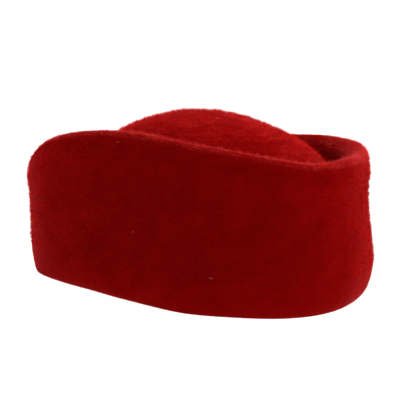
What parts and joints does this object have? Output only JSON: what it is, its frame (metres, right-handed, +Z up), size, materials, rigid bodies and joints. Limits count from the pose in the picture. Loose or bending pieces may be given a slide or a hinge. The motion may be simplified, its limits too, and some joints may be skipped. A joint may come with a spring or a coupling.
{
  "type": "wool felt cap with a turned-up brim",
  "caption": "Red wool felt cap in one piece: a domed crown, open below for the head, inside a tall turned-up brim with a thick round lip that dips at the back.",
  "frame": {"origin": "on the surface that the cap rests on, under the middle of its outline", "axes": "+X along the oval towards the front end, +Y to the wearer's left, +Z up through the crown"},
  "size_m": [0.253, 0.191, 0.117],
  "materials": {
    "wool_felt": "matte boiled wool felt with a short soft nap"
  },
  "bodies": {
    "root": {"felt_cap": "wool_felt"}
  },
  "joints": []
}
